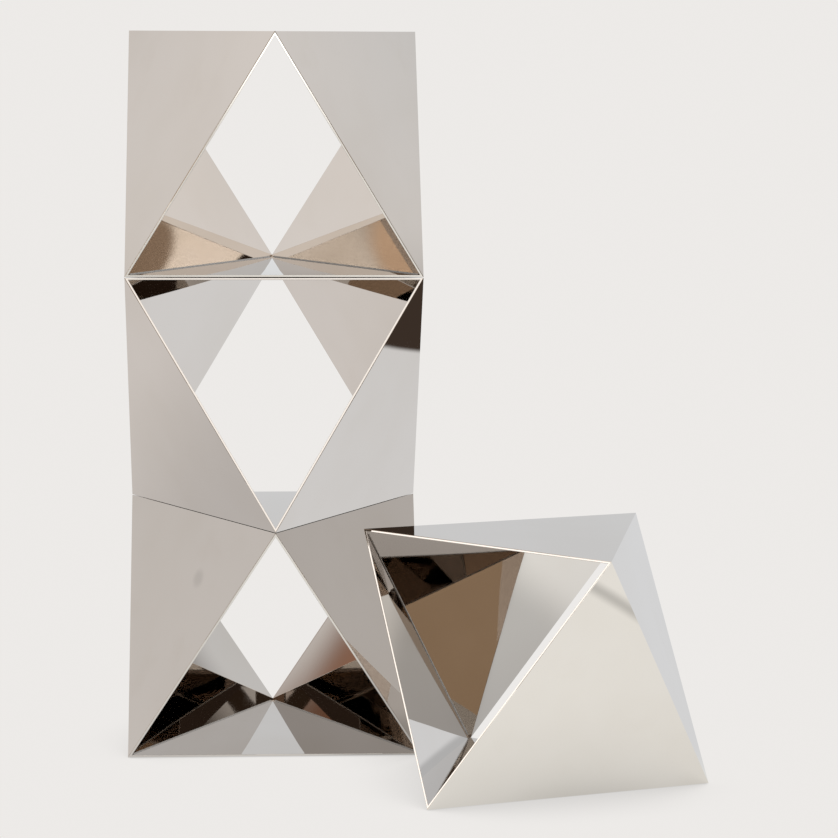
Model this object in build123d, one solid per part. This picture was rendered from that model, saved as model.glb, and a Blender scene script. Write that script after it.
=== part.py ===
from build123d import *
import os
from math import asin, degrees, sqrt

# Magnetic desk sculpture: four identical modules of mirror-polished sheet.
# Each module is a band of six triangles, the faces of a regular octahedron, with the front and
# the rear face left open, so that one looks right through it.  A face is a thin sandwich: an
# outer skin, a sheet of flexible magnet and an inner liner, with the outer skin hemmed over the
# free edge.  Solder beads join the liners inside the six seams.  Three modules stand in a stack,
# the middle one upside down, and the fourth lies on the desk on its back right face.
# Units are millimetres, +Z is up, and the origin is the centre of the stack's base on the desk.

# ---- driving dimensions -------------------------------------------------------------------
EDGE = 127.0                # edge length of one module
SKIN = 0.25                 # polished outer skin, and its hem over the free edge
MAGNET = 0.40               # flexible magnet sheet
LINER = 0.25                # polished inner liner
STACK_GAP = 0.3             # air left between two stacked faces by the sheets' slight bow

BEAD_LEG = 0.45             # solder bead inside each seam
BEAD_SETBACK = 3.0          # a bead stops this far short of the vertices

LOOSE_X = 109.0             # where the loose module lies, from the stack's axis
LOOSE_Y = -77.0
LOOSE_YAW = 18.4            # its turn about the vertical, in degrees

# ---- lengths that follow ------------------------------------------------------------------
WALL = SKIN + MAGNET + LINER
HALF_EDGE = EDGE / 2
TIP = EDGE / sqrt(2)                    # centre to vertex
FACE_OUT = EDGE / sqrt(6)               # centre to a face's outer surface
FACE_IN = FACE_OUT - WALL               # centre to a face's inner surface
HEIGHT = 2 * FACE_OUT                   # a module's height on the desk
LEAN = degrees(asin(1 / sqrt(3)))       # brings a face of the octahedron level
BLOCK = 2 * EDGE                        # bigger than anything that is cut from it

# ---- one module in its own frame ----------------------------------------------------------
# The frame is centred on the octahedron.  The front and rear tips are on Y, and the square
# between them has its corners at (+-HALF_EDGE, 0, +-HALF_EDGE).
FRONT = Vector(0, -TIP, 0)
REAR = Vector(0, TIP, 0)
TOP_LEFT = Vector(-HALF_EDGE, 0, HALF_EDGE)
TOP_RIGHT = Vector(HALF_EDGE, 0, HALF_EDGE)
LOW_LEFT = Vector(-HALF_EDGE, 0, -HALF_EDGE)
LOW_RIGHT = Vector(HALF_EDGE, 0, -HALF_EDGE)


def face_normal(corner_a, corner_b, corner_c):
    """Unit normal, away from the centre, of the octahedron's face on three vertices."""
    return (corner_a + corner_b + corner_c).normalized()


# The six closed faces, in their order round the band.
FACES = {
    "crown": face_normal(FRONT, TOP_LEFT, TOP_RIGHT),
    "left": face_normal(FRONT, TOP_LEFT, LOW_LEFT),
    "back_left": face_normal(REAR, TOP_LEFT, LOW_LEFT),
    "base": face_normal(REAR, LOW_LEFT, LOW_RIGHT),
    "back_right": face_normal(REAR, TOP_RIGHT, LOW_RIGHT),
    "right": face_normal(FRONT, TOP_RIGHT, LOW_RIGHT),
}
OPENINGS = [
    face_normal(FRONT, LOW_LEFT, LOW_RIGHT),
    face_normal(REAR, TOP_LEFT, TOP_RIGHT),
]

# The six seams: the two vertices of each, and the two faces that meet there.
SEAMS = [
    (FRONT, TOP_LEFT, "crown", "left"),
    (TOP_LEFT, LOW_LEFT, "left", "back_left"),
    (LOW_LEFT, REAR, "back_left", "base"),
    (REAR, LOW_RIGHT, "base", "back_right"),
    (LOW_RIGHT, TOP_RIGHT, "back_right", "right"),
    (TOP_RIGHT, FRONT, "right", "crown"),
]


def keep_below(solid, normal, distance=0.0):
    """The part of a solid that lies within a distance of the centre along a normal."""
    return split(solid, bisect_by=Plane(origin=normal * distance, z_dir=normal), keep=Keep.BOTTOM)


def face_layer(face, outer, inner, edge_inset=0.0):
    """One flat triangular layer of a face, between two distances from the centre.  It is mitred
    against every other closed face and cut parallel to the open ones, inset from them."""
    normal = FACES[face]
    layer = keep_below(Box(BLOCK, BLOCK, BLOCK), normal, outer)
    layer = keep_below(layer, -normal, -inner)
    for other, other_normal in FACES.items():
        if other != face:
            layer = keep_below(layer, (other_normal - normal).normalized())
    for opening in OPENINGS:
        layer = keep_below(layer, opening, FACE_OUT - edge_inset)
    return layer


def outer_skin(face):
    """Polished outer skin, folded over the face's free edge to hide the layers behind it."""
    filling = face_layer(face, FACE_OUT - SKIN, FACE_IN - SKIN, edge_inset=SKIN)
    return face_layer(face, FACE_OUT, FACE_IN) - filling


def magnet_sheet(face):
    """Flexible magnet that fills the face between its skin and its liner."""
    return face_layer(face, FACE_OUT - SKIN, FACE_IN + LINER, edge_inset=SKIN)


def inner_liner(face):
    """Polished liner, whose free edge is held by the outer skin's hem."""
    return face_layer(face, FACE_IN + LINER, FACE_IN, edge_inset=SKIN)


def solder_bead(start, end, face_a, face_b):
    """Small triangular fillet inside the seam between two liners, short of the vertices."""
    normal_a = FACES[face_a]
    normal_b = FACES[face_b]
    lean = normal_a.dot(normal_b)
    along = (end - start).normalized()
    first = start + along * BEAD_SETBACK
    root = (normal_a + normal_b) * (FACE_IN / (1 + lean)) + along * along.dot(first)
    leg_a = (normal_a * lean - normal_b).normalized() * BEAD_LEG
    leg_b = (normal_b * lean - normal_a).normalized() * BEAD_LEG
    section = Face(Wire.make_polygon([root, root + leg_a, root + leg_b]))
    return Solid.extrude(section, along * (EDGE - 2 * BEAD_SETBACK))


def module_pieces():
    """Every piece of one module in the module's own frame, by name.  A list is one node."""
    pieces = {}
    for face in FACES:
        pieces[f"{face}_skin"] = outer_skin(face)
        pieces[f"{face}_liner"] = inner_liner(face)
    pieces["magnet_sheets"] = [magnet_sheet(face) for face in FACES]
    pieces["seam_solder"] = [solder_bead(*seam) for seam in SEAMS]
    return pieces


def put_in_place(shape, place):
    """A piece moved to its module's place; a list of solids becomes one group."""
    if isinstance(shape, list):
        return Compound([place * solid for solid in shape])
    return place * shape


# ---- the four modules in place --------------------------------------------------------------
LEVEL = Rot(X=-LEAN)                    # base down, crown up
UPSIDE_DOWN = Rot(Y=180)                # crown down, base up, opening still to the front
ON_BACK_RIGHT = Rot(Y=90)               # lies on its back right face, opening to the left

LAYER = HEIGHT + STACK_GAP
PLACES = {
    "bottom": Pos(Z=HEIGHT / 2) * LEVEL,
    "middle": Pos(Z=HEIGHT / 2 + LAYER) * UPSIDE_DOWN * LEVEL,
    "top": Pos(Z=HEIGHT / 2 + 2 * LAYER) * LEVEL,
    "loose": Pos(LOOSE_X, LOOSE_Y, HEIGHT / 2) * Rot(Z=LOOSE_YAW) * LEVEL * ON_BACK_RIGHT,
}

os.makedirs("parts", exist_ok=True)
for module, place in PLACES.items():
    for piece, shape in module_pieces().items():
        export_step(put_in_place(shape, place), f"parts/{module}_{piece}.step")
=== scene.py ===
import math

import bmesh
import bpy
from mathutils import Euler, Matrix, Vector, noise


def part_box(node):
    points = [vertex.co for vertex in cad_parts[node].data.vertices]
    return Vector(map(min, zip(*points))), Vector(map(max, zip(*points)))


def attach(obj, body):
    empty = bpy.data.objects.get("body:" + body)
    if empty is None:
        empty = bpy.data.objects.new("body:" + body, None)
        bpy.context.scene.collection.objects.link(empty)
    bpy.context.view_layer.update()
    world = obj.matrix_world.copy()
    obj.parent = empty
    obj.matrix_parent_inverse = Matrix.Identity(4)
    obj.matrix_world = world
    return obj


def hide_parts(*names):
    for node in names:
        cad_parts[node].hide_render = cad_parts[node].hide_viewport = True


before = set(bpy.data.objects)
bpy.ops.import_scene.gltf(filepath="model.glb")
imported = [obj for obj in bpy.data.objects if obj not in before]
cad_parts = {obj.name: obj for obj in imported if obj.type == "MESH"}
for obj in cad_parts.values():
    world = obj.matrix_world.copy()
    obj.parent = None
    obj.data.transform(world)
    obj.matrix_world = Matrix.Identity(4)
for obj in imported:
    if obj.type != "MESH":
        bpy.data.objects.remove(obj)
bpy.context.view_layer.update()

MM = 0.001
MODULES = ["bottom", "middle", "top", "loose"]
FACES = ["crown", "left", "back_left", "base", "back_right", "right"]

# ---- sheet metal ----------------------------------------------------------------------------
HEM_ROUNDING = 0.22 * MM        # rolled free edge of the outer skin
HEM_SEGMENTS = 6
GRID_CUTS = 31                  # how finely a big flat face is divided, to let it bow
BOW_DEPTH = 0.07 * MM           # how far the middle of a face lies behind its edges
MIDDLE_GAIN = 27.0              # the middle is a third of the face's height from all three edges
RIPPLE_DEPTH = 0.035 * MM       # slow, uneven waviness on top of the bow
RIPPLE_SIZE = 45 * MM
RIPPLE_SHIFT = 100              # gives each module a ripple of its own
FOLD_ANGLE = math.radians(3)    # a polygon within this of its face's plane is part of the face
SLOPE_STEP = 0.5 * MM           # over which a face's slope is measured

# ---- solder beads ---------------------------------------------------------------------------
BEAD_LEG = 0.45 * MM
BEAD_SETBACK = 3.0 * MM
BEAD_STATIONS = 90
BEAD_ARC_STEPS = 4
BEAD_HOLLOW = 0.35              # how far a bead's face is drawn in towards the seam
BEAD_RIPPLE = 0.10              # share of the leg by which a hand-wiped bead varies
BEAD_RIPPLES = 450              # ripples per metre of bead
BEAD_FOLD_ANGLE = math.radians(50)

# ---- what counts as the same, as flat or as big when a CAD mesh is read ------------------------
SAME_VERTEX = 0.002 * MM
SAME_CORNER = 1.0 * MM
CORNER_SLACK = 0.05 * MM        # how much nearer the centre than the farthest vertex
OTHER_DIRECTION = 0.1           # between the tips of two unit vectors
FLAT_ANGLE = math.radians(0.5)
TOWARDS = 0.99                  # cosine to a direction
BIG_SHARE = 0.5                 # of the largest polygon
LONG_SHARE = 0.9                # of the longest edge


# ---- geometry -------------------------------------------------------------------------------
def module_centre(module):
    """Centre of a module's octahedron, which is the centre of the box round its skins."""
    boxes = [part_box(f"{module}_{face}_skin") for face in FACES]
    low = Vector([min(box[0][axis] for box in boxes) for axis in range(3)])
    high = Vector([max(box[1][axis] for box in boxes) for axis in range(3)])
    return (low + high) / 2


def face_corners(module, face, centre):
    """The three outer corners of a face: the vertices of its skin that lie farthest out."""
    points = [vertex.co.copy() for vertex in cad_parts[f"{module}_{face}_skin"].data.vertices]
    reach = max((point - centre).length for point in points)
    corners = []
    for point in points:
        far_out = (point - centre).length > reach - CORNER_SLACK
        if far_out and all((point - corner).length > SAME_CORNER for corner in corners):
            corners.append(point)
    return corners


def outward_normal(corners, centre):
    """Unit normal of the face on three corners, away from the module's centre."""
    return (sum(corners, Vector()) / 3 - centre).normalized()


class Module:
    """Corners and normals of one module's six closed faces and its two open ones."""

    def __init__(self, name):
        self.name = name
        self.centre = module_centre(name)
        self.corners = {face: face_corners(name, face, self.centre) for face in FACES}
        self.normals = {
            face: outward_normal(corners, self.centre) for face, corners in self.corners.items()
        }

    def opening_beside(self, face):
        """Normal of the open face that shares an edge with a closed face."""
        corners = self.corners[face]
        for corner in corners:
            across = [other for other in corners if other is not corner]
            across.append(2 * self.centre - corner)
            normal = outward_normal(across, self.centre)
            gaps = [(normal - closed).length for closed in self.normals.values()]
            if min(gaps) > OTHER_DIRECTION:
                return normal
        raise ValueError(f"{self.name} {face} has no free edge")

    def sunk(self, face, point):
        """How far a point of a face moves inwards: a shallow bow and a slow ripple."""
        share = MIDDLE_GAIN
        corners = self.corners[face]
        height = (corners[0] - (corners[1] + corners[2]) / 2).length
        for corner in corners:
            others = [other for other in corners if other is not corner]
            middle = (others[0] + others[1]) / 2
            axis = (corner - middle).normalized()
            share *= max(0.0, (point - middle).dot(axis) / height)
        ripple = noise.noise(point / RIPPLE_SIZE + self.centre * RIPPLE_SHIFT)
        return share * (BOW_DEPTH + ripple * RIPPLE_DEPTH)

    def slope_normal(self, face, point):
        """Outward normal of the bowed face at a point."""
        flat = self.normals[face]
        across = (self.corners[face][1] - self.corners[face][0]).normalized()
        along = flat.cross(across)
        normal = flat.copy()
        for tangent in (across, along):
            step = tangent * SLOPE_STEP
            rise = self.sunk(face, point + step) - self.sunk(face, point - step)
            normal += tangent * rise / (2 * SLOPE_STEP)
        return normal.normalized()


def cad_copy(node):
    """A CAD node's mesh as a clean bmesh of flat polygons."""
    sheet = bmesh.new()
    sheet.from_mesh(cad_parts[node].data)
    bmesh.ops.remove_doubles(sheet, verts=sheet.verts, dist=SAME_VERTEX)
    bmesh.ops.dissolve_limit(
        sheet, angle_limit=FLAT_ANGLE, verts=sheet.verts, edges=sheet.edges
    )
    return sheet


def roll_free_edge(sheet, opening):
    """Rounds the two long edges of the strip that faces the opening."""
    strip = max(
        (face for face in sheet.faces if face.normal.dot(opening) > TOWARDS),
        key=lambda face: face.calc_area(),
    )
    longest = max(edge.calc_length() for edge in strip.edges)
    long_edges = [edge for edge in strip.edges if edge.calc_length() > LONG_SHARE * longest]
    bmesh.ops.bevel(
        sheet, geom=long_edges, offset=HEM_ROUNDING, segments=HEM_SEGMENTS, profile=0.5,
        affect="EDGES", clamp_overlap=True,
    )


def faces_above(sheet, area):
    return [face for face in sheet.faces if face.calc_area() > area]


def divide_big_faces(sheet):
    """Cuts the two big triangles of a sheet into a fine grid."""
    big_area = BIG_SHARE * max(face.calc_area() for face in sheet.faces)
    cornered = [face for face in faces_above(sheet, big_area) if len(face.verts) > 3]
    bmesh.ops.triangulate(sheet, faces=cornered)
    edges = [edge for face in faces_above(sheet, big_area) for edge in face.edges]
    each_once = list(dict.fromkeys(edges))
    bmesh.ops.subdivide_edges(sheet, edges=each_once, cuts=GRID_CUTS, use_grid_fill=True)


def add_object(name, data):
    """A new object, linked to the scene."""
    item = bpy.data.objects.new(name, data)
    bpy.context.scene.collection.objects.link(item)
    return item


def finish_mesh(sheet, name, fold_angle):
    """Turns a bmesh into a linked object, smooth except for folds sharper than an angle."""
    bmesh.ops.triangulate(sheet, faces=[face for face in sheet.faces if len(face.verts) > 4])
    bmesh.ops.recalc_face_normals(sheet, faces=sheet.faces)
    for face in sheet.faces:
        face.smooth = True
    for edge in sheet.edges:
        edge.smooth = len(edge.link_faces) == 2 and edge.calc_face_angle(0.0) < fold_angle
    mesh = bpy.data.meshes.new(name)
    sheet.to_mesh(mesh)
    sheet.free()
    return add_object(name, mesh)


def set_sheet_normals(mesh, module, face):
    """Exact normals: those of the bowed face on its two sides, and flat ones on its edges."""
    outward = module.normals[face]
    normals = []
    for polygon in mesh.polygons:
        facing = polygon.normal.dot(outward)
        on_face = abs(facing) > math.cos(FOLD_ANGLE)
        for index in polygon.vertices:
            if on_face:
                slope = module.slope_normal(face, mesh.vertices[index].co)
                normals.append(slope if facing > 0 else -slope)
            else:
                normals.append(polygon.normal)
    mesh.normals_split_custom_set(normals)


def metal_sheet(module, face, layer):
    """The finished skin or liner of one face: rounded edges, a faint bow and a slow ripple."""
    node = f"{module.name}_{face}_{layer}"
    sheet = cad_copy(node)
    if layer == "skin":
        roll_free_edge(sheet, module.opening_beside(face))
    divide_big_faces(sheet)
    normal = module.normals[face]
    for vertex in sheet.verts:
        vertex.co -= normal * module.sunk(face, vertex.co)
    piece = finish_mesh(sheet, f"{node}_sheet", FOLD_ANGLE)
    set_sheet_normals(piece.data, module, face)
    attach(piece, f"{module.name}_module")
    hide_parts(node)
    return piece


def inner_distance(module, face):
    """Distance from the module's centre to the face's inner surface."""
    normal = module.normals[face]
    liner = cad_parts[f"{module.name}_{face}_liner"].data.vertices
    return min((vertex.co - module.centre).dot(normal) for vertex in liner)


def bead_ring(root, leg_a, leg_b):
    """Cross-section of a bead: the seam's root and a hollow arc between the two walls."""
    ring = [root]
    for step in range(BEAD_ARC_STEPS + 1):
        share = step / BEAD_ARC_STEPS
        chord = root + leg_a.lerp(leg_b, share)
        ring.append(chord.lerp(root, BEAD_HOLLOW * math.sin(math.pi * share)))
    return ring


def add_bead(beads, module, face_a, face_b):
    """One hand-wiped solder bead along the inside of the seam between two liners."""
    shared = [
        corner for corner in module.corners[face_a]
        if any((corner - other).length < SAME_CORNER for other in module.corners[face_b])
    ]
    start, end = shared
    along = (end - start).normalized()
    normal_a, normal_b = module.normals[face_a], module.normals[face_b]
    lean = normal_a.dot(normal_b)
    depth = inner_distance(module, face_a) / (1 + lean)
    length = (end - start).length - 2 * BEAD_SETBACK
    first = along.dot(start - module.centre) + BEAD_SETBACK
    rings = []
    for station in range(BEAD_STATIONS + 1):
        travel = first + length * station / BEAD_STATIONS
        root = module.centre + (normal_a + normal_b) * depth + along * travel
        size = BEAD_LEG * (1 + BEAD_RIPPLE * noise.noise(root * BEAD_RIPPLES))
        leg_a = (normal_a * lean - normal_b).normalized() * size
        leg_b = (normal_b * lean - normal_a).normalized() * size
        rings.append([beads.verts.new(point) for point in bead_ring(root, leg_a, leg_b)])
    count = len(rings[0])
    for ring, following in zip(rings, rings[1:]):
        for index in range(count):
            after = (index + 1) % count
            beads.faces.new((ring[index], ring[after], following[after], following[index]))
    beads.faces.new(rings[0])
    beads.faces.new(reversed(rings[-1]))


def solder_beads(module):
    """The six beads of one module as one piece."""
    beads = bmesh.new()
    for face_a, face_b in zip(FACES, FACES[1:] + FACES[:1]):
        add_bead(beads, module, face_a, face_b)
    piece = finish_mesh(beads, f"{module.name}_solder_beads", BEAD_FOLD_ANGLE)
    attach(piece, f"{module.name}_module")
    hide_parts(f"{module.name}_seam_solder")
    return piece


# ---- material nodes -------------------------------------------------------------------------
class Nodes:
    """Short helpers for writing a shader as nodes."""

    def __init__(self, tree):
        self.tree = tree
        tree.nodes.clear()

    def add(self, kind, **settings):
        node = self.tree.nodes.new(kind)
        for name, value in settings.items():
            setattr(node, name, value)
        return node

    def join(self, source, target):
        """Connects a socket, or sets a plain value, on a target input."""
        if isinstance(source, bpy.types.NodeSocket):
            self.tree.links.new(source, target)
        else:
            target.default_value = source

    def show(self, shader, output_kind="ShaderNodeOutputMaterial"):
        """Makes a shader the surface of the material, or of the world."""
        output = self.add(output_kind)
        self.join(shader, output.inputs["Surface"])

    def math(self, operation, first, second=0.0):
        node = self.add("ShaderNodeMath", operation=operation)
        self.join(first, node.inputs[0])
        self.join(second, node.inputs[1])
        return node.outputs[0]

    def line(self, value, slope, offset):
        """A value times a slope, plus an offset."""
        node = self.add("ShaderNodeMath", operation="MULTIPLY_ADD")
        for index, item in enumerate((value, slope, offset)):
            self.join(item, node.inputs[index])
        return node.outputs[0]

    def rise(self, value, low, high, start=0.0, end=1.0):
        """A smooth step from start to end as the value goes from low to high."""
        node = self.add("ShaderNodeMapRange", interpolation_type="SMOOTHSTEP")
        for index, item in enumerate((value, low, high, start, end)):
            self.join(item, node.inputs[index])
        return node.outputs[0]

    def mix(self, share, first, second):
        node = self.add("ShaderNodeMix", data_type="RGBA")
        self.join(share, node.inputs[0])
        self.join(first, node.inputs[6])
        self.join(second, node.inputs[7])
        return node.outputs[2]

    def tinted(self, colour, filter_colour):
        """One colour seen through another."""
        node = self.add("ShaderNodeVectorMath", operation="MULTIPLY")
        self.join(colour, node.inputs[0])
        self.join(filter_colour, node.inputs[1])
        return node.outputs[0]

    def scaled(self, colour, strength):
        """A colour made brighter or darker by a factor."""
        node = self.add("ShaderNodeVectorMath", operation="SCALE")
        self.join(colour, node.inputs[0])
        self.join(strength, node.inputs["Scale"])
        return node.outputs[0]

    def components(self, vector):
        """The X, Y and Z of a vector."""
        node = self.add("ShaderNodeSeparateXYZ")
        self.join(vector, node.inputs[0])
        return node.outputs

    def noise(self, position, scale, detail, stretch=(1, 1, 1), turn=(0, 0, 0)):
        mapping = self.add("ShaderNodeMapping")
        self.join(position, mapping.inputs["Vector"])
        mapping.inputs["Scale"].default_value = stretch
        mapping.inputs["Rotation"].default_value = turn
        texture = self.add("ShaderNodeTexNoise")
        self.join(mapping.outputs[0], texture.inputs["Vector"])
        texture.inputs["Scale"].default_value = scale
        texture.inputs["Detail"].default_value = detail
        return texture.outputs["Fac"]

    def ramp(self, value, stops):
        """A smooth run of colours, from (value, colour) pairs in rising order."""
        lowest = stops[0][0]
        span = stops[-1][0] - lowest
        node = self.add("ShaderNodeValToRGB")
        node.color_ramp.interpolation = "EASE"
        self.join(self.line(value, 1 / span, -lowest / span), node.inputs[0])
        elements = node.color_ramp.elements
        while len(elements) < len(stops):
            elements.new(1.0)
        for element, (amount, colour) in zip(elements, stops):
            element.position = (amount - lowest) / span
            element.color = colour
        return node.outputs[0]


def new_material(name):
    material = bpy.data.materials.new(name)
    material.use_nodes = True
    return material, Nodes(material.node_tree)


def rgb(red, green, blue):
    return (red, green, blue, 1.0)


def grey(level):
    return rgb(level, level, level)


WHITE = grey(1)


def spot(nodes, position, centre, inner, outer):
    """1 within a radius of a point, fading to 0 at a larger radius."""
    away = nodes.add("ShaderNodeVectorMath", operation="DISTANCE")
    nodes.join(position, away.inputs[0])
    nodes.join(centre, away.inputs[1])
    return nodes.rise(away.outputs["Value"], inner, outer, 1.0, 0.0)


def bumpy(nodes, height, depth, strength, under=None):
    """A bump of a given depth, laid over another one if there is one."""
    bump = nodes.add("ShaderNodeBump")
    bump.inputs["Strength"].default_value = strength
    bump.inputs["Distance"].default_value = depth
    nodes.join(height, bump.inputs["Height"])
    if under is not None:
        nodes.join(under, bump.inputs["Normal"])
    return bump.outputs[0]


def glowing(nodes, colour):
    """A surface that gives off a colour, whatever light falls on it."""
    glow = nodes.add("ShaderNodeEmission")
    nodes.join(colour, glow.inputs["Color"])
    return glow.outputs[0]


# ---- polished steel ---------------------------------------------------------------------------
CLEAN_STEEL = rgb(0.715, 0.675, 0.64)
GRAZING_TINT = rgb(0.87, 0.875, 0.885)  # steel at a shallow angle: no brighter, slightly blue
OUTER_STEEL = {
    "clean": CLEAN_STEEL,
    "tarnished": rgb(0.675, 0.63, 0.585),
    "haze": 0.014,
    "unevenness": 0.018 * MM,
}
INNER_STEEL = {
    "clean": CLEAN_STEEL,
    "tarnished": rgb(0.68, 0.635, 0.59),
    "haze": 0.012,
    "unevenness": 0.008 * MM,
}

# The patterns on the steel.  A scale is in noise cells per metre, and a turn is in radians.
TONE_NOISE = {"scale": 14, "detail": 3.0}
SMUDGE_NOISE = {"scale": 32, "detail": 5.0, "turn": (0.4, 0.9, 0.2)}
WIPE_NOISE = {"scale": 26, "detail": 3.0, "stretch": (1.0, 0.12, 1.0), "turn": (0.2, 0.3, 0.9)}
SPOT_NOISE = {"scale": 140, "detail": 2.0}
LINE_NOISE = {"scale": 900, "detail": 2.0, "stretch": (1.0, 1.0, 0.03), "turn": (0.3, 0.5, 0.0)}
SPECK_NOISE = {"scale": 2600, "detail": 1.0}
WAVE_NOISE = {"scale": 22, "detail": 1.0}

# The noise values over which each pattern appears.
TONE_RISE = (0.35, 0.75)
SMUDGE_RISE = (0.56, 0.74)
WIPE_RISE = (0.58, 0.72)
SPOT_RISE = (0.72, 0.78)
SPECK_RISE = (0.76, 0.80)

# How much of the steel's colour each pattern takes over, at most.
TONE_SHARE = 0.8
SMUDGE_SHARE = 0.4
WIPE_SHARE = 0.8                # of a smudge
SPOT_SHARE = 0.12
SPECK_SHARE = 0.25
THUMB_SHARE = 0.30

SPECK_COLOUR = rgb(0.25, 0.23, 0.21)
THUMB_COLOUR = rgb(0.40, 0.38, 0.36)
THUMB_RADII = (1.5 * MM, 5.5 * MM)
THUMB_OFFSET = Vector((-1, -16, 26)) * MM   # from the middle of the box round the face it is on
SMUDGE_HAZE = 1.6               # roughness that a smudge adds, as a multiple of the haze
LINE_HAZE = 0.5
LINE_DEPTH = 0.004 * MM
LINE_STRENGTH = 0.06


def mirror_steel(name, clean, tarnished, haze, unevenness, marks=()):
    """Polished stainless sheet: slow tone changes, wiping haze, smudges, fine polishing lines,
    thumb marks and a faint unevenness that bends its reflections."""
    material, nodes = new_material(name)
    place = nodes.add("ShaderNodeTexCoord").outputs["Object"]
    tone = nodes.rise(nodes.noise(place, **TONE_NOISE), *TONE_RISE)
    smudge = nodes.rise(nodes.noise(place, **SMUDGE_NOISE), *SMUDGE_RISE)
    wipe = nodes.rise(nodes.noise(place, **WIPE_NOISE), *WIPE_RISE, 0.0, WIPE_SHARE)
    smudge = nodes.math("MAXIMUM", smudge, wipe)
    spots = nodes.rise(nodes.noise(place, **SPOT_NOISE), *SPOT_RISE)
    lines = nodes.noise(place, **LINE_NOISE)
    specks = nodes.rise(nodes.noise(place, **SPECK_NOISE), *SPECK_RISE)

    colour = nodes.mix(nodes.math("MULTIPLY", tone, TONE_SHARE), clean, tarnished)
    colour = nodes.mix(nodes.math("MULTIPLY", smudge, SMUDGE_SHARE), colour, tarnished)
    colour = nodes.mix(nodes.math("MULTIPLY", spots, SPOT_SHARE), colour, tarnished)
    colour = nodes.mix(nodes.math("MULTIPLY", specks, SPECK_SHARE), colour, SPECK_COLOUR)
    for centre in marks:
        thumb = nodes.math("MULTIPLY", spot(nodes, place, centre, *THUMB_RADII), THUMB_SHARE)
        colour = nodes.mix(thumb, colour, THUMB_COLOUR)
    roughness = nodes.line(smudge, haze * SMUDGE_HAZE, haze)
    roughness = nodes.math("ADD", roughness, nodes.math("MULTIPLY", lines, haze * LINE_HAZE))
    waves = bumpy(nodes, nodes.noise(place, **WAVE_NOISE), unevenness, 1.0)

    shader = nodes.add("ShaderNodeBsdfPrincipled")
    shader.inputs["Metallic"].default_value = 1.0
    shader.inputs["Specular Tint"].default_value = GRAZING_TINT
    nodes.join(colour, shader.inputs["Base Color"])
    nodes.join(roughness, shader.inputs["Roughness"])
    nodes.join(bumpy(nodes, lines, LINE_DEPTH, LINE_STRENGTH, waves), shader.inputs["Normal"])
    nodes.show(shader.outputs[0])
    return material


def thumb_mark():
    """Where a thumb mark sits, on the bottom module's left face."""
    low, high = (Vector(corner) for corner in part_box("bottom_left_skin"))
    return (low + high) / 2 + THUMB_OFFSET


def outer_steel():
    return mirror_steel("outer_steel", **OUTER_STEEL, marks=[thumb_mark()])


def inner_steel():
    return mirror_steel("inner_steel", **INNER_STEEL)


# ---- solder and magnet sheet ------------------------------------------------------------------
GRAIN_RISE = (0.2, 0.8)         # the noise values over which roughness changes
GRAIN_DEPTH = 0.05 * MM


def grainy(name, grain_noise, colours, metallic, roughness, strength):
    """A grainy material whose colour, roughness and bump follow one fine noise."""
    material, nodes = new_material(name)
    place = nodes.add("ShaderNodeTexCoord").outputs["Object"]
    grain = nodes.noise(place, **grain_noise)
    shader = nodes.add("ShaderNodeBsdfPrincipled")
    shader.inputs["Metallic"].default_value = metallic
    nodes.join(nodes.mix(grain, *colours), shader.inputs["Base Color"])
    nodes.join(nodes.rise(grain, *GRAIN_RISE, *roughness), shader.inputs["Roughness"])
    nodes.join(bumpy(nodes, grain, GRAIN_DEPTH, strength), shader.inputs["Normal"])
    nodes.show(shader.outputs[0])
    return material


def tin_solder():
    """Wiped solder, dulled by oxide: satin, grainy and slightly pitted."""
    return grainy(
        "tin_solder",
        grain_noise={"scale": 1800, "detail": 4.0},
        colours=(rgb(0.46, 0.43, 0.40), rgb(0.30, 0.28, 0.26)),
        metallic=1.0,
        roughness=(0.22, 0.42),
        strength=0.4,
    )


def magnet_rubber():
    """Ferrite-filled rubber sheet, dark brown-black and matt."""
    return grainy(
        "magnet_rubber",
        grain_noise={"scale": 2200, "detail": 5.0},
        colours=(rgb(0.035, 0.03, 0.027), rgb(0.075, 0.066, 0.06)),
        metallic=0.0,
        roughness=(0.55, 0.8),
        strength=0.3,
    )


# ---- the studio that the mirrors reflect ------------------------------------------------------
# The object stands on a sheet of white paper, in a dim brown room.  The camera sees plain pale
# surroundings, and the mirrors see the paper, the backdrop, the lights and the room.
# Azimuths run from +Y towards +X and elevations up from the horizon, in degrees.  Places on the
# table are in metres, east is +X and north is +Y.  A pair says where a light or a change begins
# and ends, and a pair of levels what the change goes from and to.
PALE = rgb(0.845, 0.825, 0.805)

# The room, with a light overhead, one behind the camera, a window and a lamp.
ROOM_BROWN = rgb(0.60, 0.46, 0.32)
ROOM_DARK = rgb(0.045, 0.030, 0.020)
ROOM_FRONT = rgb(0.55, 0.42, 0.31)
ROOM_WALLS = [                  # by azimuth
    (-180, ROOM_DARK),
    (-150, ROOM_FRONT),
    (-120, ROOM_BROWN),
    (-80, ROOM_BROWN),
    (-66, rgb(0.20, 0.13, 0.09)),
    (-63.3, rgb(0.30, 0.12, 0.05)),
    (-62.2, rgb(0.31, 0.21, 0.17)),
    (62, ROOM_DARK),
    (95, rgb(0.40, 0.33, 0.27)),
    (120, rgb(0.70, 0.63, 0.55)),
    (150, ROOM_FRONT),
    (180, ROOM_DARK),
]
OVERHEAD = rgb(1.15, 1.10, 1.04)
OVERHEAD_OVER_ROOM = (36.0, 50.0)       # elevations over which it sets in
OVERHEAD_OVER_BACKDROP = (44.0, 54.0)
FRONT_SOFTBOX = rgb(1.35, 1.32, 1.28)
FRONT_SOFTBOX_OFF_AXIS = (147.0, 151.0)
FRONT_SOFTBOX_ELEVATION = (18.0, 23.0)
WINDOW = rgb(1.7, 1.65, 1.6)            # on the left
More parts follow.
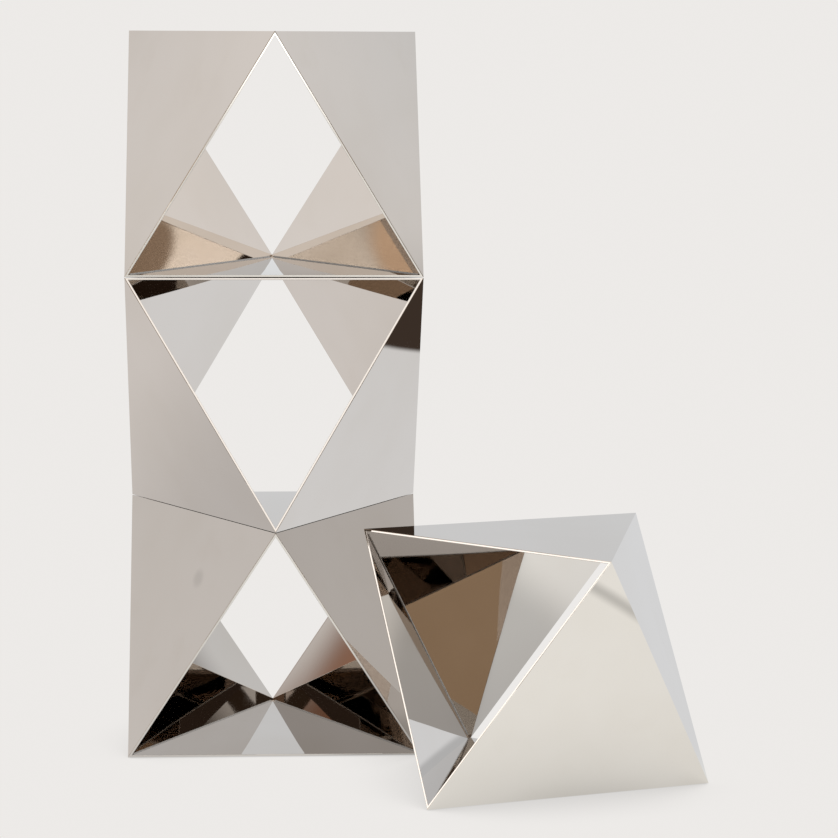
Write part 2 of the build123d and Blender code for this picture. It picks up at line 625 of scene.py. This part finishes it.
WINDOW_AZIMUTH = (-118.0, -84.0)
WINDOW_ELEVATION = (15.5, 28.0)
LAMP = rgb(1.45, 1.45, 1.45)            # on the right, just beside the backdrop
LAMP_AZIMUTH = (61.5, 67.0)
LAMP_ELEVATION = (21.0, 28.5)
LIGHT_EDGE = 1.5

# The backdrop.
BACKDROP_HALF_ANGLE = 61.8      # either side of +Y
BACKDROP_EDGE = 0.7
BACKDROP_COOL = rgb(0.985, 1.0, 1.01)
BACKDROP_WARM = rgb(1.0, 0.965, 0.935)
BACKDROP_WARM_LEFT = (-62.0, 10.0)
BACKDROP_LEVELS = [             # by elevation
    (-10, grey(0.80)),
    (0, grey(0.97)),
    (8, grey(0.82)),
    (14, grey(0.77)),
    (20, grey(0.80)),
    (30, grey(0.68)),
]
SIDES = (50.0, 57.0)            # off axis
LOW_PART = (10.0, 14.0)         # elevations over which it gives way to the upper part
UPPER_SIDE_GAIN = 0.17
LOW_SIDE_LEVEL = 0.90
DIP_BEGINS = (20.0, 45.0)       # azimuths of a dimmer stretch of the low part on the right
DIP_ENDS = (59.3, 60.6)
DIP_DEPTH = 0.18
TOP_PART = (20.0, 27.0)         # elevations over which the left gets dimmer than the right
TOP_ACROSS = (-30.0, 30.0)
TOP_LEVELS = (0.76, 1.20)

# The paper on the table.
PAPER_COOL = rgb(0.985, 1.0, 1.015)
PAPER_WARM = rgb(1.0, 0.965, 0.94)
PAPER_CREAM = rgb(1.03, 1.04, 1.01)
PAPER_LEFT = -0.50              # its edges
PAPER_RIGHT = 0.294             # the right edge leans, and crosses the stack's line here
PAPER_LEAN = 0.35
PAPER_FRONT = -0.56
PAPER_SPREAD = 1.05             # behind the stack it widens with distance by this slope
PAPER_EDGE = 0.003              # softness of those edges
PAPER_ACROSS = (-0.20, 0.12)    # from its left part to its right part
# The paper's levels are painted light and shade: its left part is dimmer near the stack in painted
# shade, and its front is brighter in painted light.
LEFT_NORTHWARDS = (0.10, 0.27)
LEFT_SHADE_LEVELS = (0.66, 0.85)
RIGHT_LEVEL = 0.90
FRONT_STRIP = (-0.47, -0.36)
FRONT_LIGHT_LEVELS = (2.5, 1.0)
NEAR_STACK = (-0.20, 0.02)
NEAR_STACK_LEVELS = (1.16, 0.98)
CREAM_FADES = (-0.12, 0.02)
SHADOW_LINE_RIGHT = 0.287            # a soft painted shadow line on the paper, which crosses the stack's line here
SHADOW_LINE_LEAN = 0.42
SHADOW_LINE_WIDTH = 0.007
SHADOW_LINE_DEPTH = 0.34
SHADOW_LINE_ENDS = (-0.178, -0.160)
SHADE_PLACE = (0.10, -0.04, 0.0)        # painted shadow on the paper between the stack and the loose module
SHADE_RADII = (0.05, 0.10)
SHADE_LEVEL = 0.70

# The table beyond the paper, a darker brown patch in front and a painted warm pool of light there.
TABLE_DARK = rgb(0.060, 0.042, 0.032)
# A darker brown patch on the bright front of the paper.
BROWN_PATCH = rgb(0.85, 0.70, 0.56)
BROWN_PATCH_PLACE = (0.165, -0.435, 0.0)
BROWN_PATCH_RADII = (0.030, 0.045)
# A painted warm pool of light, brighter than the paper around it.
WARM_LIGHT_POOL = rgb(1.75, 1.42, 1.10)
WARM_POOL_PLACE = (-0.15, -0.405, 0.0)
WARM_POOL_RADII = (0.020, 0.055)

# The floor's soft contact shadows.
SHADOW_REACH = 0.05
SHADOW_SAMPLES = 12
PAPER_SHADOW = 0.80
FLOOR_SHADOW = 0.72
FLOOR_OPEN = 0.9                # openness from which the camera sees no shadow
FLOOR_SIZE = 12.0
FLOOR_DROP = 0.3 * MM           # keeps the floor just clear of the faces that rest on it

# Two upright dark cards beside the backdrop: their left and right ends.
CARDS = {"left_flag": (-0.450, -0.420), "right_flag": (0.407, 0.440)}
CARD_NORTH = 0.285
CARD_LOW = 0.135
CARD_HIGH = 0.30

# Soft lights: place, turn in radians, width and watts.
SOFTBOXES = {
    "overhead_softbox": ((0.0, -0.2, 1.6), (-0.12, 0.0, 0.0), 1.6, 22),
    "front_softbox": ((-0.9, -1.4, 1.0), (0.95, 0.0, -0.57), 1.2, 14),
}


def direction_angles(nodes):
    """Azimuth and elevation of the view direction, in degrees."""
    direction = nodes.add("ShaderNodeTexCoord").outputs["Generated"]
    east, north, up = nodes.components(direction)
    azimuth = nodes.math("DEGREES", nodes.math("ARCTAN2", east, north))
    elevation = nodes.math("DEGREES", nodes.math("ARCSINE", up))
    return azimuth, elevation


def band(nodes, value, limits, softness):
    """1 between two limits and 0 outside them, with soft edges."""
    low, high = limits
    return nodes.math("MULTIPLY", nodes.rise(value, low - softness, low + softness),
                      nodes.rise(value, high - softness, high + softness, 1.0, 0.0))


def backdrop_colours(nodes, azimuth, elevation):
    """White backdrop: brightest at the table, with dimmer low sides and a dimmer upper left."""
    level = nodes.ramp(elevation, BACKDROP_LEVELS)
    off_axis = nodes.math("ABSOLUTE", azimuth)
    beside = nodes.rise(off_axis, *SIDES)
    high = nodes.rise(elevation, *LOW_PART)
    gain = nodes.line(nodes.math("MULTIPLY", beside, high), UPPER_SIDE_GAIN, 1.0)
    right_dip = nodes.math("MULTIPLY", nodes.rise(azimuth, *DIP_BEGINS),
                           nodes.rise(azimuth, *DIP_ENDS, 1.0, 0.0))
    dip = nodes.math("MULTIPLY", right_dip, DIP_DEPTH)
    low_side = nodes.math("MAXIMUM", nodes.math("SUBTRACT", LOW_SIDE_LEVEL, dip), high)
    dimming = nodes.mix(beside, WHITE, low_side)
    top = nodes.rise(azimuth, *TOP_ACROSS, *TOP_LEVELS)
    top = nodes.mix(nodes.rise(elevation, *TOP_PART), WHITE, top)
    warm = nodes.rise(azimuth, *BACKDROP_WARM_LEFT, 1.0, 0.0)
    warm = nodes.math("MAXIMUM", warm, nodes.math("MULTIPLY", right_dip, beside))
    colour = nodes.mix(warm, BACKDROP_COOL, BACKDROP_WARM)
    for shade in (level, dimming, top):
        colour = nodes.tinted(colour, shade)
    return nodes.scaled(colour, gain)


def build_world():
    """The room, the backdrop and their lights for the mirrors, and plain pale for the camera."""
    world = bpy.data.worlds.new("studio")
    bpy.context.scene.world = world
    world.use_nodes = True
    nodes = Nodes(world.node_tree)
    azimuth, elevation = direction_angles(nodes)
    room = nodes.ramp(azimuth, ROOM_WALLS)
    room = nodes.mix(nodes.rise(elevation, *OVERHEAD_OVER_ROOM), room, OVERHEAD)
    off_axis = nodes.math("ABSOLUTE", azimuth)
    beside = nodes.rise(off_axis, BACKDROP_HALF_ANGLE - BACKDROP_EDGE,
                        BACKDROP_HALF_ANGLE + BACKDROP_EDGE)
    studio = nodes.mix(beside, backdrop_colours(nodes, azimuth, elevation), room)
    studio = nodes.mix(nodes.rise(elevation, *OVERHEAD_OVER_BACKDROP), studio, OVERHEAD)
    for light, sideways, upwards in ((WINDOW, WINDOW_AZIMUTH, WINDOW_ELEVATION),
                                     (LAMP, LAMP_AZIMUTH, LAMP_ELEVATION)):
        inside = nodes.math("MULTIPLY", band(nodes, azimuth, sideways, LIGHT_EDGE),
                            band(nodes, elevation, upwards, LIGHT_EDGE))
        studio = nodes.mix(inside, studio, light)
    behind_camera = nodes.rise(off_axis, *FRONT_SOFTBOX_OFF_AXIS)
    raised = nodes.rise(elevation, *FRONT_SOFTBOX_ELEVATION)
    studio = nodes.mix(nodes.math("MULTIPLY", behind_camera, raised), studio, FRONT_SOFTBOX)
    camera_ray = nodes.add("ShaderNodeLightPath").outputs["Is Camera Ray"]
    background = nodes.add("ShaderNodeBackground")
    nodes.join(nodes.mix(camera_ray, studio, PALE), background.inputs["Color"])
    nodes.show(background.outputs[0], "ShaderNodeOutputWorld")


def paper_mask(nodes, east, north):
    """1 on the white paper, 0 on the dark table beyond its edges."""
    spread = nodes.math("MULTIPLY", north, PAPER_SPREAD)
    leaning = nodes.line(nodes.math("MAXIMUM", north, 0.0), PAPER_LEAN, PAPER_RIGHT)
    right = nodes.math("SUBTRACT", nodes.math("MAXIMUM", spread, leaning), east)
    left = nodes.math("ADD", nodes.math("MAXIMUM", spread, -PAPER_LEFT), east)
    front = nodes.math("SUBTRACT", north, PAPER_FRONT)
    nearest = nodes.math("MINIMUM", nodes.math("MINIMUM", right, left), front)
    return nodes.rise(nearest, -PAPER_EDGE, PAPER_EDGE)


def painted_shadow_line(nodes, east, north):
    """Soft painted shadow line across the paper, in front of the loose module."""
    line = nodes.line(north, SHADOW_LINE_LEAN, SHADOW_LINE_RIGHT)
    away = nodes.math("ABSOLUTE", nodes.math("SUBTRACT", east, line))
    depth = nodes.rise(away, 0.0, SHADOW_LINE_WIDTH, SHADOW_LINE_DEPTH, 0.0)
    nearby = nodes.rise(north, *SHADOW_LINE_ENDS, 1.0, 0.0)
    return nodes.math("SUBTRACT", 1.0, nodes.math("MULTIPLY", depth, nearby))


def paper_colours(nodes, east, north):
    """The paper, in painted light and shade: dimmer and warmer on the left near the stack, where
    painted shade falls, and brightest towards the front, in a painted pool of light.
    """
    across = nodes.rise(east, *PAPER_ACROSS)
    left_share = nodes.math("SUBTRACT", 1.0, across)
    left = nodes.rise(north, *LEFT_NORTHWARDS, *LEFT_SHADE_LEVELS)
    level = nodes.math("ADD", nodes.math("MULTIPLY", across, RIGHT_LEVEL),
                       nodes.math("MULTIPLY", left_share, left))
    for change in (
        nodes.rise(north, *FRONT_STRIP, *FRONT_LIGHT_LEVELS),
        nodes.rise(north, *NEAR_STACK, *NEAR_STACK_LEVELS),
        painted_shadow_line(nodes, east, north),
    ):
        level = nodes.math("MULTIPLY", level, change)
    tint = nodes.mix(across, PAPER_WARM, PAPER_COOL)
    tint = nodes.mix(nodes.rise(north, *CREAM_FADES, 1.0, 0.0), tint, PAPER_CREAM)
    return nodes.scaled(tint, level)


def floor_material():
    """Pale floor that gives off its own painted light, with painted soft contact shadows; the
    mirrors see it as paper on a dark table.
    """
    material, nodes = new_material("pale_floor")
    position = nodes.add("ShaderNodeNewGeometry").outputs["Position"]
    east, north = nodes.components(position)[:2]
    shelter = nodes.add("ShaderNodeAmbientOcclusion", samples=SHADOW_SAMPLES)
    shelter.inputs["Distance"].default_value = SHADOW_REACH
    openness = shelter.outputs["AO"]
    # A painted shadow darkens the paper between the stack and the loose module.
    painted_shadow = spot(nodes, position, SHADE_PLACE, *SHADE_RADII)
    paper = nodes.scaled(paper_colours(nodes, east, north),
                         nodes.rise(painted_shadow, 0.0, 1.0, 1.0, SHADE_LEVEL))
    paper = nodes.scaled(paper, nodes.rise(openness, 0.0, 1.0, PAPER_SHADOW, 1.0))
    table = nodes.mix(paper_mask(nodes, east, north), TABLE_DARK, paper)
    table = nodes.mix(spot(nodes, position, BROWN_PATCH_PLACE, *BROWN_PATCH_RADII), table, BROWN_PATCH)
    table = nodes.mix(spot(nodes, position, WARM_POOL_PLACE, *WARM_POOL_RADII), table, WARM_LIGHT_POOL)
    seen = nodes.scaled(PALE[:3], nodes.rise(openness, 0.0, FLOOR_OPEN, FLOOR_SHADOW, 1.0))
    camera_ray = nodes.add("ShaderNodeLightPath").outputs["Is Camera Ray"]
    nodes.show(glowing(nodes, nodes.mix(camera_ray, table, seen)))
    return material


def dark_card():
    """Plain card, as dark as the darkest wall of the room."""
    material, nodes = new_material("dark_card")
    nodes.show(glowing(nodes, ROOM_DARK))
    return material


def stage_sheet(name, corners, material):
    """A flat rectangle that belongs to the studio and not to the object."""
    mesh = bpy.data.meshes.new(name)
    mesh.from_pydata(corners, [], [(0, 1, 2, 3)])
    mesh.materials.append(material)
    sheet = add_object(name, mesh)
    return sheet


def build_floor():
    half = FLOOR_SIZE / 2
    corners = [(-half, -half), (half, -half), (half, half), (-half, half)]
    stage_sheet("floor", [(x, y, -FLOOR_DROP) for x, y in corners], floor_material())


def build_cards():
    """Two dark cards beside the backdrop, which the mirrors see and the camera doesn't."""
    material = dark_card()
    for name, (left, right) in CARDS.items():
        corners = [(left, CARD_LOW), (right, CARD_LOW), (right, CARD_HIGH), (left, CARD_HIGH)]
        card = stage_sheet(name, [(x, CARD_NORTH, z) for x, z in corners], material)
        card.visible_camera = False


def build_lights():
    """Two large soft lights; the mirrors don't show them, because the world holds their glow."""
    for name, (place, turn, width, watts) in SOFTBOXES.items():
        lamp = bpy.data.lights.new(name, "AREA")
        lamp.size = width
        lamp.energy = watts
        holder = add_object(name, lamp)
        holder.location = place
        holder.rotation_euler = Euler(turn)
        holder.visible_glossy = False


# ---- camera -----------------------------------------------------------------------------------
CAMERA_PLACE = Vector((-0.0126, -1.3388, 0.3116))
CAMERA_PAN = math.radians(3.27)         # to the right of +Y
CAMERA_TILT = math.radians(7.19)        # below the horizon
CAMERA_ROLL = math.radians(0.25)
CAMERA_LENS = 131.8                     # millimetres, like the sensor's width
SENSOR_WIDTH = 36.0
NEAR_LIMIT = 0.05                       # nothing closer to the camera than this is shown

MAX_BOUNCES = 16
GLOSSY_BOUNCES = 12                     # the mirrors reflect each other many times over


def build_camera():
    data = bpy.data.cameras.new("camera")
    data.lens = CAMERA_LENS
    data.sensor_width = SENSOR_WIDTH
    data.clip_start = NEAR_LIMIT
    camera = add_object("camera", data)
    pan = Euler((0, 0, -CAMERA_PAN)).to_matrix()
    tilt = Euler((math.pi / 2 - CAMERA_TILT, 0, 0)).to_matrix()
    roll = Euler((0, 0, CAMERA_ROLL)).to_matrix()
    camera.rotation_euler = (pan @ tilt @ roll).to_euler()
    camera.location = CAMERA_PLACE
    bpy.context.scene.camera = camera


def set_colours_and_bounces():
    """Plain colour management, and enough bounces for mirrors that face each other."""
    scene = bpy.context.scene
    scene.view_settings.view_transform = "Standard"
    scene.cycles.max_bounces = MAX_BOUNCES
    scene.cycles.glossy_bounces = GLOSSY_BOUNCES


# ---- build everything ---------------------------------------------------------------------------
def dress(piece, material):
    """Gives a new piece its material."""
    piece.data.materials.append(material)


def build_sculpture():
    """Skins, liners and beads of every module, and the look of its magnet sheets."""
    outer, inner = outer_steel(), inner_steel()
    solder, rubber = tin_solder(), magnet_rubber()
    for name in MODULES:
        module = Module(name)
        for face in FACES:
            dress(metal_sheet(module, face, "skin"), outer)
            dress(metal_sheet(module, face, "liner"), inner)
        dress(solder_beads(module), solder)
        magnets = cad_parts[f"{name}_magnet_sheets"]
        magnets.data.materials.clear()
        magnets.data.materials.append(rubber)


build_sculpture()
build_world()
build_floor()
build_cards()
build_lights()
build_camera()
set_colours_and_bounces()
